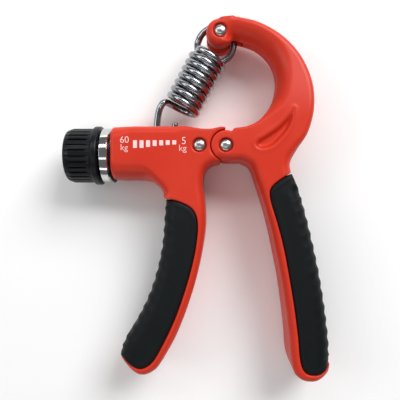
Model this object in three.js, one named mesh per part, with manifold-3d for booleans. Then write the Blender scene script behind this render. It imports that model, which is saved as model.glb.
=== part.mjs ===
// Adjustable hand grip strengthener: two hinged handles, an extension spring and a screw that moves the spring's foot.
// Millimetres. The model lies on its back: +X points away from the knob, +Y up the hook, +Z out of the front face.
// Everything is drawn about the hinge pin, and the whole group is centred on its box at the end.
import * as THREE from "three";
import { mergeVertices } from "three/addons/utils/BufferGeometryUtils.js";
import Module from "manifold-3d";

const wasm = await Module();
wasm.setup();

// ---------- driving dimensions ----------
const MID = 13; // height of the middle plane over the back face
const PLASTIC_HALF = 12.7; // half depth of the handles
const BARREL_HALF = 12.4; // half depth of the adjuster barrel
const HOOK_TIP_HALF = 9.8; // half depth of the hook at its tip
const GRIP_HALF = MID; // half depth over the rubber grips
const CORE_HALF = 10.2; // half depth of the handle core under the rubber
const GRIP_WALL = 3.2; // rubber thickness along the outer edge
const CORE_INSET = 1.6;
const CORE_EDGE = 1.2;
const EDGE = 3; // rounding of the long edges of the handles
const GAP = 0.3; // clearance between pieces that touch or slide
const THROUGH = 40; // length of a cutter that passes right through

const KNUCKLE_R = 6.2; // right handle's knuckle about the hinge pin
const LIP_END = 0.2; // the left handle's upper lip ends here, over the knuckle
const LOWER_LIP_END = -1.7;
const LINK_PIN = new THREE.Vector2(-11, 0); // rivet that fixes the hinge link in the left handle
const LINK_R = 4.6;
const LINK_HALF = 2; // half thickness of the hinge link
const LINK_SWEEP = 1.2; // the right handle's slot opens this far past the pin below, for the squeezed link
const TIP_PIN = new THREE.Vector2(-2.4, 48.7); // rivet that carries the spring's loop in the hook
const TIP_CENTRE = new THREE.Vector2(-2.6, 48.4);
const TIP_R = 5.8;
const TIP_SLOT_HALF = 2.2;
const TIP_SLOT_R = 10.4;

const RIVET_SHANK_R = 1.9;
const RIVET_HEAD_R = 2.5;
const RIVET_DOME = 1.5;
const RECESS_R = 3.3; // round counterbore over each rivet head
const RECESS_DEPTH = 1.4;
const WASHER_R = 3.0;
const WASHER_THICK = 0.6;

const AXIS_Y = -3.4; // axis of the knob and its screw
const BARREL_TOP = 8;
const BARREL_BOTTOM = -14.2;
const BARREL_END = -47.6;
const BARREL_ROOT = -18;
const BARREL_ROUND = 8.4; // radius of the barrel's lower corners
const BARREL_TOP_ROUND = 3.2; // radius of its upper corners
const BARREL_CHAMFER = 1.8;
const BORE_R = 7.9; // chamber inside the barrel
const BORE_END = -16.6;
const TOP_SLOT = { left: -45, right: -13.4, half: 4.7 }; // slot over the chamber for the spring's foot

const COLLAR = { left: -53.2, right: -49.3, r: 11.9 };
const GASKET = { left: -49, right: -47.9, r: 11.8 };
const SPIGOT = { right: -45.5, r: 7.5 };
const KNOB = { left: -68.5, flangeLeft: -56.9, right: -53.9, r: 11.8, flangeR: 12.75 };
const KNOB_RIBS = 30;
const KNOB_RIB_DEPTH = 0.75;
const CAP = { r: 8.2, thick: 1.6 };
const SCREW_R = 2.5;
const SCREW_END = -17.6;
const SCREW_HEAD = { acrossFlats: 8, left: -66.4, right: -62.4 };
const NUT = { left: -45.2, right: -43.2, acrossFlats: 8 };

const FOOT = new THREE.Vector2(-26.1, 5.1); // pin in the carriage that holds the spring's hook
const FOOT_PIN_R = 2;
const CARRIAGE = { half: 4.2, bottom: -10.4, step: 2.4, top: 7.6, blockHalf: 6, earHalf: 4.4, gapHalf: 1.95 };

const WIRE_R = 1.5;
const COIL_R = 6.97; // centre line of the coil
const COIL_START = 13.6; // distance of the coil's first turn from the foot pin, along the spring
const COIL_PITCH = 3.3;
const COIL_TURNS = 8.25;
const HOOK_BEND_R = 3.85;
const LOOP_R = 7.8;
const WIRE_SIDES = 8;
const STEPS_PER_TURN = 14;

const RIDGE_HEIGHT = 0.45; // scallops along the outer edge of the grips
const RIDGES = 14;

const rad = THREE.MathUtils.degToRad;
const vec = (pairs) => pairs.map(([x, y]) => new THREE.Vector2(x, y));

// ---------- solids ----------
function solid(geometry) {
  const g = geometry.clone();
  g.deleteAttribute("normal");
  g.deleteAttribute("uv");
  const merged = mergeVertices(g, 1e-3);
  return new wasm.Manifold(
    new wasm.Mesh({
      numProp: 3,
      vertProperties: merged.attributes.position.array,
      triVerts: new Uint32Array(merged.index.array),
    }),
  );
}

function geometryOf(manifold) {
  const mesh = manifold.getMesh();
  const positions = new Float32Array(mesh.numVert * 3);
  for (let i = 0; i < mesh.numVert; i += 1) {
    positions.set(mesh.vertProperties.subarray(i * mesh.numProp, i * mesh.numProp + 3), i * 3);
  }
  const g = new THREE.BufferGeometry();
  g.setAttribute("position", new THREE.BufferAttribute(positions, 3));
  g.setIndex(new THREE.BufferAttribute(mesh.triVerts, 1));
  return g.toNonIndexed();
}

// A plate of the given outline about the middle plane, with rounded edges.
function plate(shape, half, round, segments = 3, curveSegments = 3) {
  const g = new THREE.ExtrudeGeometry(shape, {
    depth: 2 * (half - round),
    bevelEnabled: round > 0,
    bevelThickness: round,
    bevelSize: round,
    bevelOffset: -round,
    bevelSegments: segments,
    curveSegments,
  });
  g.translate(0, 0, MID - half + round);
  return g;
}

// A straight cutter of the given outline from one height to another.
function prism(shape, bottom, top) {
  const g = new THREE.ExtrudeGeometry(shape, { depth: top - bottom, bevelEnabled: false, curveSegments: 10 });
  g.translate(0, 0, bottom);
  return solid(g);
}

function circleShape(x, y, r) {
  return new THREE.Shape().absarc(x, y, r, 0, 2 * Math.PI, false);
}

function boxSolid(x0, x1, y0, y1, z0, z1) {
  const g = new THREE.BoxGeometry(x1 - x0, y1 - y0, z1 - z0);
  g.translate((x0 + x1) / 2, (y0 + y1) / 2, (z0 + z1) / 2);
  return solid(g);
}

// A turned piece about the knob's axis: the profile is a list of [x, radius] pairs from left to right.
function turned(profile, segments = 32) {
  const closed = [...profile, profile[0]];
  const g = new THREE.LatheGeometry(closed.map(([x, r]) => new THREE.Vector2(r, x)), segments);
  g.rotateZ(-Math.PI / 2);
  g.translate(0, AXIS_Y, MID);
  return outward(g);
}

// A turned piece about an upright axis: the profile is a list of [radius, z] pairs from the bottom up.
function turnedUpright(centre, profile, segments = 16) {
  const g = new THREE.LatheGeometry(vec(profile), segments);
  g.rotateX(Math.PI / 2);
  g.translate(centre.x, centre.y, 0);
  return outward(g);
}

// The same solid with its faces pointing out.
function outward(geometry) {
  const s = solid(geometry);
  if (s.volume() > 0) return s;
  const flipped = geometry.clone();
  const index = flipped.index.array;
  for (let i = 0; i < index.length; i += 3) {
    [index[i + 1], index[i + 2]] = [index[i + 2], index[i + 1]];
  }
  return solid(flipped);
}

// A line of points moved to its left by a distance.
function offsetLine(points, distance) {
  return points.map((p, i) => {
    const before = points[Math.max(i - 1, 0)];
    const after = points[Math.min(i + 1, points.length - 1)];
    const along = after.clone().sub(before).normalize();
    return new THREE.Vector2(p.x - along.y * distance, p.y + along.x * distance);
  });
}

// A smooth line through points, with a row of shallow scallops on its left side.
function ridged(points, count, height) {
  const line = new THREE.SplineCurve(points).getSpacedPoints(count * 4);
  const bumps = line.map((p, i) => {
    const inside = i > 1 && i < line.length - 2;
    const rise = inside ? (height / 2) * (1 - Math.cos((i / 4) * 2 * Math.PI)) : 0;
    return offsetLine([line[Math.max(i - 1, 0)], p, line[Math.min(i + 1, line.length - 1)]], rise)[1];
  });
  return bumps;
}

// ---------- outlines ----------
// Left handle, from the knuckle down the inner side to the end.
const leftInner = vec([
  [-2.5, -6.7],
  [-6, -7.7],
  [-8.9, -10.3],
  [-10, -16],
  [-8.9, -25],
  [-8.7, -34],
  [-10, -44],
  [-12.5, -56],
  [-16.2, -68],
  [-21, -80],
  [-26.6, -90],
]);
const leftEnd = vec([
  [-29.8, -94],
  [-34.7, -96],
  [-39.8, -94.2],
  [-43.6, -90],
]);
// Outer side of the left grip, from the end up to the barrel.
const leftOuter = vec([
  [-44.7, -86.4],
  [-42.2, -80.6],
  [-37.6, -73],
  [-32.7, -63],
  [-29.1, -52],
  [-26.9, -41],
  [-26, -30],
  [-25.7, -23.4],
]);
const leftArmpit = vec([
  [-25.9, -20],
  [-27.6, -17],
  [-30.6, -15],
]);
const leftGripEdge = vec([
  [-24.6, -22.4],
  [-19.5, -23.6],
  [-14.1, -26.6],
  [-11.9, -32],
  [-12.4, -41],
  [-14.4, -51],
  [-17.6, -62],
  [-21.6, -73],
  [-26.6, -83.5],
  [-30.8, -90.3],
  [-35.5, -92.9],
  [-40, -91],
  [-42.6, -88.6],
]).reverse();

// Right handle, over the top of the hook and down its outer side.
const hookOuter = vec([
  [4, 55],
  [13.5, 52.8],
  [22.6, 47.9],
  [29.4, 41.5],
  [34, 33.8],
  [36.7, 24.5],
  [36.7, 14.5],
  [34.2, 5.3],
  [29.8, -1.7],
  [27, -7.4],
  [27.8, -12.4],
]);
const rightOuter = vec([
  [31.2, -19.2],
  [34.4, -31],
  [37.3, -43.2],
  [39.8, -55.4],
  [41.8, -68],
  [43.2, -80],
  [43.9, -91],
]);
const rightEnd = vec([
  [42.8, -95.8],
  [39, -98.6],
  [33, -98.6],
  [28.9, -95.8],
]);
const rightInner = vec([
  [27.3, -90],
  [26.5, -80],
  [25.2, -68.8],
  [23.5, -57],
  [21.3, -45.8],
  [18.9, -34.6],
  [16.1, -24.3],
  [12.9, -14.6],
  [10.6, -8.6],
  [6.6, -6.2],
]);
const hookInner = vec([
  [8.4, 7.8],
  [13.4, 10.2],
  [17.8, 15.3],
  [21, 21.6],
  [22.1, 28],
  [20.9, 34.3],
  [17.2, 39.8],
  [11.4, 43.8],
  [4, 46],
]);
const rightGripEdge = vec([
  [27.2, -11.7],
  [22.3, -14.6],
  [18.6, -18.2],
  [18.6, -23],
  [21.4, -32.4],
  [24, -42.5],
  [26.2, -54],
  [28.2, -66],
  [29.9, -79],
  [31, -90],
  [33.2, -94.6],
  [37.6, -95.6],
  [41.4, -94],
  [43.2, -91.4],
]);

function leftOutline(outer) {
  const shape = new THREE.Shape();
  shape.moveTo(-37, 3);
  shape.lineTo(-30, 7.6);
  shape.lineTo(-12.9, 7.2);
  shape.lineTo(-6, 6.8);
  shape.lineTo(-2.4, 7.6);
  shape.lineTo(3, 7.6);
  shape.lineTo(3, -6.7);
  shape.lineTo(leftInner[0].x, leftInner[0].y);
  shape.splineThru(leftInner.slice(1));
  shape.splineThru(leftEnd);
  outer.forEach((p) => shape.lineTo(p.x, p.y));
  shape.splineThru(leftArmpit);
  shape.lineTo(-37, -9);
  shape.closePath();
  return shape;
}

function rightOutline(outer) {
  const shape = new THREE.Shape();
  shape.moveTo(hookOuter[0].x, hookOuter[0].y);
  shape.splineThru(hookOuter.slice(1));
  outer.forEach((p) => shape.lineTo(p.x, p.y));
  shape.splineThru(rightEnd);
  shape.splineThru(rightInner);
  shape.lineTo(0, -KNUCKLE_R);
  shape.absarc(0, 0, KNUCKLE_R, rad(-90), rad(-292), true);
  shape.lineTo(3.6, 7.1);
  shape.splineThru(hookInner);
  shape.absarc(TIP_CENTRE.x, TIP_CENTRE.y, TIP_R, rad(-22), rad(-262), true);
  shape.closePath();
  return shape;
}

// The area of a handle's face that the grip covers: inside the edge line, and everything outside the outer side.
function gripArea(edge, growth, far) {
  const line = new THREE.SplineCurve(offsetLine(edge, growth)).getSpacedPoints(44);
  const shape = new THREE.Shape(line);
  far.forEach(([x, y]) => shape.lineTo(x, y));
  shape.closePath();
  return prism(shape, -1, 2 * MID + 1);
}

// The part of a handle that runs on inside the rubber, bounded by the inner side and the set-back outer side.
function core(innerSide, outerSide, growth) {
  const inner = new THREE.SplineCurve(offsetLine(innerSide, -CORE_INSET)).getSpacedPoints(16);
  const outer = new THREE.SplineCurve(offsetLine(outerSide, growth - GRIP_WALL)).getSpacedPoints(16);
  const shape = new THREE.Shape([...inner, ...outer]);
  return solid(plate(shape, CORE_HALF + growth, CORE_EDGE, 2));
}

// The hook gets thinner from the knuckle to its tip.
function taperHook(geometry) {
  const p = geometry.attributes.position;
  for (let i = 0; i < p.count; i += 1) {
    const rise = THREE.MathUtils.smoothstep(p.getY(i), 12, 48);
    const scale = THREE.MathUtils.lerp(1, HOOK_TIP_HALF / PLASTIC_HALF, rise);
    p.setZ(i, MID + (p.getZ(i) - MID) * scale);
  }
  return geometry;
}

// Round recesses over and under a rivet, and its hole, through a piece of the given half depth.
function rivetHoles(piece, pin, half) {
  const hole = prism(circleShape(pin.x, pin.y, RIVET_SHANK_R + GAP), -1, THROUGH);
  const front = prism(circleShape(pin.x, pin.y, RECESS_R), MID + half - RECESS_DEPTH, THROUGH);
  const back = prism(circleShape(pin.x, pin.y, RECESS_R), -1, MID - half + RECESS_DEPTH + WASHER_THICK);
  return piece.subtract(hole).subtract(front).subtract(back);
}

// ---------- the pieces ----------
const plastic = new THREE.MeshStandardMaterial({ color: 0xd8402a, roughness: 0.38, metalness: 0 });
const rubber = new THREE.MeshStandardMaterial({ color: 0x14181a, roughness: 0.62, metalness: 0 });
const knobPlastic = new THREE.MeshStandardMaterial({ color: 0x0c0e14, roughness: 0.45, metalness: 0 });
const chrome = new THREE.MeshStandardMaterial({ color: 0xc9cbcd, roughness: 0.15, metalness: 1 });
const steel = new THREE.MeshStandardMaterial({ color: 0x9a9da0, roughness: 0.32, metalness: 1 });
const springSteel = new THREE.MeshStandardMaterial({ color: 0xb4b7bb, roughness: 0.2, metalness: 1 });

const model = new THREE.Group();

function add(name, manifold, material) {
  const mesh = new THREE.Mesh(geometryOf(manifold), material);
  mesh.name = name;
  model.add(mesh);
}

function barrel() {
  const half = (BARREL_TOP - BARREL_BOTTOM) / 2;
  const section = new THREE.Shape();
  const corner = (side, up, radius, start) => {
    section.absarc(side * (BARREL_HALF - radius), up * (half - radius), radius, rad(start), rad(start + 90), false);
  };
  corner(1, 1, BARREL_TOP_ROUND, 0);
  corner(-1, 1, BARREL_TOP_ROUND, 90);
  corner(-1, -1, BARREL_ROUND, 180);
  corner(1, -1, BARREL_ROUND, 270);
  const g = new THREE.ExtrudeGeometry(section, {
    depth: BARREL_ROOT - BARREL_END - 2 * BARREL_CHAMFER,
    bevelThickness: BARREL_CHAMFER,
    bevelSize: BARREL_CHAMFER,
    bevelOffset: -BARREL_CHAMFER,
    bevelSegments: 3,
    curveSegments: 5,
  });
  g.rotateY(Math.PI / 2);
  g.translate(BARREL_END + BARREL_CHAMFER, (BARREL_TOP + BARREL_BOTTOM) / 2, MID);
  return solid(g);
}

const leftBump = ridged(offsetLine(leftOuter, -RIDGE_HEIGHT), RIDGES, RIDGE_HEIGHT);
const rightBump = ridged(offsetLine(rightOuter, -RIDGE_HEIGHT), RIDGES, RIDGE_HEIGHT);
const leftFar = [
  [-60, -22.4],
  [-60, -84],
];
const rightFar = [
  [60, -86],
  [60, -11.7],
];
const leftCore = (growth) =>
  core([...leftInner.slice(4), ...leftEnd.slice(0, 2)], [...leftOuter, ...leftArmpit.slice(0, 2)], growth);
const rightCore = (growth) =>
  core([...rightEnd.slice(2), ...rightInner.slice(0, 8)], [...hookOuter.slice(9), ...rightOuter], growth);

function leftHandle() {
  let body = solid(plate(leftOutline(leftOuter), PLASTIC_HALF, EDGE));
  body = body.subtract(gripArea(leftGripEdge, -GAP / 2, leftFar));
  body = body.add(leftCore(0)).add(barrel());
  const recess = prism(circleShape(0, 0, KNUCKLE_R + GAP), -1, THROUGH);
  const upper = boxSolid(LIP_END, 20, -1, 20, -1, THROUGH);
  const lower = boxSolid(LOWER_LIP_END, 20, -20, -0.5, -1, THROUGH);
  body = body.subtract(recess).subtract(upper).subtract(lower);
  const chamber = turned([
    [BARREL_END - 5, 0],
    [BARREL_END - 5, BORE_R],
    [BORE_END, BORE_R],
    [BORE_END, 0],
  ]);
  const topSlot = boxSolid(TOP_SLOT.left, TOP_SLOT.right, 0, 20, MID - TOP_SLOT.half, MID + TOP_SLOT.half);
  const linkSlotHalf = LINK_HALF + GAP;
  const linkSlot = boxSolid(
    LINK_PIN.x - LINK_R - GAP,
    10,
    -LINK_R - GAP,
    LINK_R + GAP,
    MID - linkSlotHalf,
    MID + linkSlotHalf,
  );
  body = body.subtract(chamber).subtract(topSlot).subtract(linkSlot);
  return rivetHoles(body, LINK_PIN, PLASTIC_HALF);
}

function rightHandle() {
  let body = solid(taperHook(plate(rightOutline(rightOuter), PLASTIC_HALF, EDGE)));
  body = body.subtract(gripArea(rightGripEdge, -GAP / 2, rightFar).subtract(boxSolid(-60, 0, -120, 60, -2, 60)));
  body = body.add(rightCore(0));
  const linkSlotHalf = LINK_HALF + GAP;
  const slotFloor = prism(circleShape(0, 0, LINK_R + GAP + 0.2), MID - linkSlotHalf, MID + linkSlotHalf);
  const slotMouth = boxSolid(-20, 0, -20, 20, MID - linkSlotHalf, MID + linkSlotHalf);
  const slotSweep = boxSolid(-20, LINK_SWEEP, -20, 0, MID - linkSlotHalf, MID + linkSlotHalf);
  const tipSlot = prism(circleShape(TIP_PIN.x, TIP_PIN.y, TIP_SLOT_R), MID - TIP_SLOT_HALF, MID + TIP_SLOT_HALF);
  body = body.subtract(slotFloor).subtract(slotMouth).subtract(slotSweep).subtract(tipSlot);
  body = rivetHoles(body, new THREE.Vector2(0, 0), PLASTIC_HALF);
  return rivetHoles(body, TIP_PIN, HOOK_TIP_HALF);
}

// A grip is a channel of rubber over the handle's core, open towards the inner side.
function grip(outline, area, coreSpace) {
  const block = solid(plate(outline, GRIP_HALF, EDGE, 2));
  return block.intersect(area).subtract(coreSpace);
}

function hingeLink() {
  const shape = new THREE.Shape();
  shape.absarc(LINK_PIN.x, 0, LINK_R, rad(90), rad(270), false);
  shape.absarc(0, 0, LINK_R, rad(-90), rad(90), false);
  const link = solid(plate(shape, LINK_HALF, 0.4, 1, 8));
  const holes = [LINK_PIN.x, 0].map((x) => prism(circleShape(x, 0, RIVET_SHANK_R + GAP), -1, THROUGH));
  return link.subtract(holes[0]).subtract(holes[1]);
}

// A domed rivet: the front head sits in its recess, the back head is set on the washer.
function rivet(pin, half) {
  const seat = MID + half - RECESS_DEPTH + 0.05;
  const tail = MID - half + RECESS_DEPTH - 0.05;
  const dome = [];
  for (let i = 0; i <= 4; i += 1) {
    const a = rad(90 * (i / 4));
    dome.push([RIVET_HEAD_R * Math.cos(a), seat + RIVET_DOME * Math.sin(a)]);
  }
  dome[dome.length - 1][0] = 0;
  return turnedUpright(pin, [
    [0, tail - 0.9],
    [RIVET_SHANK_R + 0.3, tail - 0.9],
    [RIVET_SHANK_R + 0.5, tail - 0.5],
    [RIVET_SHANK_R + 0.5, tail],
    [RIVET_SHANK_R, tail],
    [RIVET_SHANK_R, seat],
    ...dome,
  ]);
}

function rivetWasher(pin, half) {
  const top = MID - half + RECESS_DEPTH + WASHER_THICK - 0.05;
  const bottom = top - WASHER_THICK + 0.1;
  return turnedUpright(pin, [
    [RIVET_SHANK_R + 0.15, bottom],
    [WASHER_R, bottom],
    [WASHER_R, top],
    [RIVET_SHANK_R + 0.15, top],
    [RIVET_SHANK_R + 0.15, bottom],
  ]);
}

function collar() {
  return turned([
    [COLLAR.left + 0.5, SCREW_R + GAP],
    [COLLAR.left + 0.5, COLLAR.r - 1],
    [COLLAR.left, COLLAR.r - 0.5],
    [COLLAR.left + 0.3, COLLAR.r],
    [COLLAR.right - 0.7, COLLAR.r],
    [COLLAR.right, COLLAR.r - 0.7],
    [COLLAR.right, SPIGOT.r],
    [SPIGOT.right, SPIGOT.r],
    [SPIGOT.right, SCREW_R + GAP],
  ]);
}

function gasket() {
  return turned([
    [GASKET.left, SPIGOT.r + GAP],
    [GASKET.left, GASKET.r - 0.3],
    [GASKET.left + 0.3, GASKET.r],
    [GASKET.right - 0.3, GASKET.r],
    [GASKET.right, GASKET.r - 0.3],
    [GASKET.right, SPIGOT.r + GAP],
  ]);
}

function hexagon(acrossFlats, left, right) {
  const g = new THREE.CylinderGeometry(acrossFlats / Math.sqrt(3), acrossFlats / Math.sqrt(3), right - left, 6);
  g.rotateZ(-Math.PI / 2);
  g.translate((left + right) / 2, AXIS_Y, MID);
  return solid(g);
}

function knob() {
  const outline = [];
  for (let i = 0; i < KNOB_RIBS; i += 1) {
    [0, 0.2, 0.5, 0.7].forEach((part, k) => {
      const a = ((i + part) / KNOB_RIBS) * 2 * Math.PI;
      const r = k < 2 ? KNOB.r - KNOB_RIB_DEPTH : KNOB.r;
      outline.push(new THREE.Vector2(r * Math.cos(a), r * Math.sin(a)));
    });
  }
  const ribs = new THREE.ExtrudeGeometry(new THREE.Shape(outline), {
    depth: KNOB.right - KNOB.left,
    bevelEnabled: false,
  });
  ribs.rotateY(Math.PI / 2);
  ribs.translate(KNOB.left, AXIS_Y, MID);
  const rounded = turned([
    [KNOB.left, 0],
    [KNOB.left, KNOB.r - 2],
    [KNOB.left + 0.35, KNOB.r - 1.2],
    [KNOB.left + 1, KNOB.r - 0.6],
    [KNOB.left + 2.6, KNOB.r],
    [KNOB.right - 1, KNOB.r],
    [KNOB.right - 1, 0],
  ], 60);
  const flange = turned([
    [KNOB.flangeLeft - 0.8, 0],
    [KNOB.flangeLeft - 0.8, KNOB.r + 0.1],
    [KNOB.flangeLeft + 0.2, KNOB.r + 0.1],
    [KNOB.flangeLeft + 0.8, KNOB.flangeR],
    [KNOB.right - 0.8, KNOB.flangeR],
    [KNOB.right, KNOB.flangeR - 0.8],
    [KNOB.right, 0],
  ]);
  const body = solid(ribs).intersect(rounded).add(flange);
  const inside = turned([
    [KNOB.left - 1, 0],
    [KNOB.left - 1, CAP.r + 0.2],
    [KNOB.left + CAP.thick + 0.3, CAP.r + 0.2],
    [KNOB.left + CAP.thick + 0.3, 5.6],
    [SCREW_HEAD.left - 0.2, 5.6],
    [SCREW_HEAD.left - 0.2, 0],
  ]);
  const bore = turned([
    [KNOB.left, 0],
    [KNOB.left, SCREW_R + GAP],
    [KNOB.right + 1, SCREW_R + GAP],
    [KNOB.right + 1, 0],
  ], 20);
  const socket = hexagon(SCREW_HEAD.acrossFlats + 2 * GAP, SCREW_HEAD.left - 1, SCREW_HEAD.right + GAP);
  return body.subtract(inside).subtract(bore).subtract(socket);
}

function endCap() {
  return turned([
    [KNOB.left + 0.3, 0],
    [KNOB.left + 0.3, CAP.r - 1],
    [KNOB.left + 0.8, CAP.r],
    [KNOB.left + 0.2 + CAP.thick, CAP.r],
    [KNOB.left + 0.2 + CAP.thick, 0],
  ], 32);
}

function screw() {
  const shank = turned([
    [SCREW_HEAD.right - 1, 0],
    [SCREW_HEAD.right - 1, SCREW_R],
    [SCREW_END - 0.6, SCREW_R],
    [SCREW_END, SCREW_R - 0.6],
    [SCREW_END, 0],
  ], 20);
  return shank.add(hexagon(SCREW_HEAD.acrossFlats, SCREW_HEAD.left, SCREW_HEAD.right));
}

function thrustWasher() {
  return turned([
    [KNOB.right + 0.1, SCREW_R + GAP],
    [KNOB.right + 0.1, 6],
    [COLLAR.left + 0.4, 6],
    [COLLAR.left + 0.4, SCREW_R + GAP],
  ], 24);
}

function lockNut() {
  const bore = turned([
    [NUT.left - 1, 0],
    [NUT.left - 1, SCREW_R + 0.15],
    [NUT.right + 1, SCREW_R + 0.15],
    [NUT.right + 1, 0],
  ], 20);
  return hexagon(NUT.acrossFlats, NUT.left, NUT.right).subtract(bore);
}

// The carriage: a block on the screw with two ears that stand in the barrel's slot and hold the foot pin.
function carriage() {
  const x0 = FOOT.x - CARRIAGE.half;
  const x1 = FOOT.x + CARRIAGE.half;
  const block = boxSolid(x0, x1, CARRIAGE.bottom, CARRIAGE.step, MID - CARRIAGE.blockHalf, MID + CARRIAGE.blockHalf);
  const ears = boxSolid(x0, x1, 0, CARRIAGE.top, MID - CARRIAGE.earHalf, MID + CARRIAGE.earHalf);
  const round = turned([
    [x0 - 1, 0],
    [x0 - 1, BORE_R - GAP],
    [x1 + 1, BORE_R - GAP],
    [x1 + 1, 0],
  ]);
  const bore = turned([
    [x0 - 1, 0],
    [x0 - 1, SCREW_R + 0.15],
    [x1 + 1, SCREW_R + 0.15],
    [x1 + 1, 0],
  ], 20);
  const between = boxSolid(x0 - 1, x1 + 1, -0.7, 20, MID - CARRIAGE.gapHalf, MID + CARRIAGE.gapHalf);
  const pinHole = prism(circleShape(FOOT.x, FOOT.y, FOOT_PIN_R + 0.1), -1, THROUGH);
  return block.intersect(round).add(ears).subtract(bore).subtract(between).subtract(pinHole);
}

function footPin() {
  const half = CARRIAGE.earHalf - 0.1;
  return turnedUpright(FOOT, [
    [0, MID - half],
    [FOOT_PIN_R - 0.3, MID - half],
    [FOOT_PIN_R, MID - half + 0.3],
    [FOOT_PIN_R, MID + half - 0.3],
    [FOOT_PIN_R - 0.3, MID + half],
    [0, MID + half],
  ]);
}

// The spring's own frame: along the line from the foot pin to the tip pin, and across it towards the handle.
const springAlong = TIP_PIN.clone().sub(FOOT).normalize();
const springAcross = new THREE.Vector2(springAlong.y, -springAlong.x);

function onSpring(along, across, height) {
  return new THREE.Vector3(
    FOOT.x + springAlong.x * along + springAcross.x * across,
    FOOT.y + springAlong.y * along + springAcross.y * across,
    MID + height,
  );
}

function coilPoint(turns) {
  const a = Math.PI + turns * 2 * Math.PI;
  return onSpring(COIL_START + turns * COIL_PITCH, COIL_R * Math.cos(a), COIL_R * Math.sin(a));
}

function coil(from, to) {
  const steps = Math.round((to - from) * 12);
  return Array.from({ length: steps + 1 }, (_, i) => coilPoint(from + ((to - from) * i) / steps));
}

function wire(points, turns) {
  const section = new THREE.Shape();
  for (let i = 0; i < WIRE_SIDES; i += 1) {
    const a = (i / WIRE_SIDES) * 2 * Math.PI;
    const x = WIRE_R * Math.cos(a);
    const y = WIRE_R * Math.sin(a);
    if (i === 0) section.moveTo(x, y);
    else section.lineTo(x, y);
  }
  const path = new THREE.CatmullRomCurve3(points, false, "centripetal");
  const steps = Math.round(turns * STEPS_PER_TURN);
  const g = new THREE.ExtrudeGeometry(section, { steps, extrudePath: path, bevelEnabled: false });
  return outward(mergeVertices(g.deleteAttribute("normal").deleteAttribute("uv"), 1e-4));
}

// The lower half: a hook round the foot pin, its leg up the left side, and the first turns of the coil.
function springLower() {
  const points = [new THREE.Vector3(FOOT.x + HOOK_BEND_R, FOOT.y + 5.3, MID)];
  for (let i = 0; i <= 6; i += 1) {
    const a = rad(-180 * (i / 6));
    points.push(new THREE.Vector3(FOOT.x + HOOK_BEND_R * Math.cos(a), FOOT.y + HOOK_BEND_R * Math.sin(a), MID));
  }
  points.push(new THREE.Vector3(FOOT.x - HOOK_BEND_R - 0.2, FOOT.y + 5, MID));
  points.push(onSpring(9.4, -8.3, 0));
  points.push(onSpring(12.6, -7.9, 0.4));
  points.push(...coil(0.12, COIL_TURNS / 2 - 0.03));
  return wire(points, COIL_TURNS / 2 + 1.1);
}

// The upper half: the rest of the coil and the loop that hangs on the hook's rivet.
function springUpper() {
  const points = coil(COIL_TURNS / 2 + 0.03, COIL_TURNS - 0.4);
  const end = COIL_START + COIL_TURNS * COIL_PITCH;
  points.push(onSpring(end - 0.5, -6.1, -3.2));
  points.push(onSpring(end + 1.4, -7.4, -0.8));
  const centre = TIP_PIN.clone().addScaledVector(springAlong, RIVET_SHANK_R + GAP + 0.1 + WIRE_R - LOOP_R);
  const along = centre.clone().sub(FOOT).dot(springAlong);
  for (let i = 0; i <= 12; i += 1) {
    const a = rad(190 - i * 21);
    points.push(onSpring(along + LOOP_R * Math.sin(a), LOOP_R * Math.cos(a), 0));
  }
  return wire(points, COIL_TURNS / 2 + 1.3);
}

add("left_handle", leftHandle(), plastic);
add("right_handle", rightHandle(), plastic);
add("left_grip", grip(leftOutline(leftBump), gripArea(leftGripEdge, GAP / 2, leftFar), leftCore(GAP)), rubber);
add("right_grip", grip(rightOutline(rightBump), gripArea(rightGripEdge, GAP / 2, rightFar), rightCore(GAP)), rubber);
add("hinge_link", hingeLink(), steel);
add("link_rivet", rivet(LINK_PIN, PLASTIC_HALF), chrome);
add("link_rivet_washer", rivetWasher(LINK_PIN, PLASTIC_HALF), steel);
add("pivot_rivet", rivet(new THREE.Vector2(0, 0), PLASTIC_HALF), chrome);
add("pivot_rivet_washer", rivetWasher(new THREE.Vector2(0, 0), PLASTIC_HALF), steel);
add("spring_rivet", rivet(TIP_PIN, HOOK_TIP_HALF), chrome);
add("spring_rivet_washer", rivetWasher(TIP_PIN, HOOK_TIP_HALF), steel);
add("barrel_collar", collar(), chrome);
add("collar_gasket", gasket(), knobPlastic);
add("knob", knob(), knobPlastic);
add("knob_end_cap", endCap(), knobPlastic);
add("adjusting_screw", screw(), steel);
add("thrust_washer", thrustWasher(), steel);
add("screw_lock_nut", lockNut(), steel);
add("carriage", carriage(), knobPlastic);
add("carriage_pin", footPin(), steel);
add("spring_lower", springLower(), springSteel);
add("spring_upper", springUpper(), springSteel);

const box = new THREE.Box3().setFromObject(model);
const middle = box.getCenter(new THREE.Vector3());
model.position.set(-middle.x, -middle.y, -box.min.z);

export default model;
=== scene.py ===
"""Hand grip strengthener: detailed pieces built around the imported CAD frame.

Shapes are worked out in millimetres about the hinge pin (X away from the knob, Y up the hook, Z out of the
front face, back face at 0) and moved into the row frame, in metres, when a mesh is made.
"""
import math

import bmesh
import bpy
import numpy as np
from mathutils import Matrix, Vector


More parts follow.
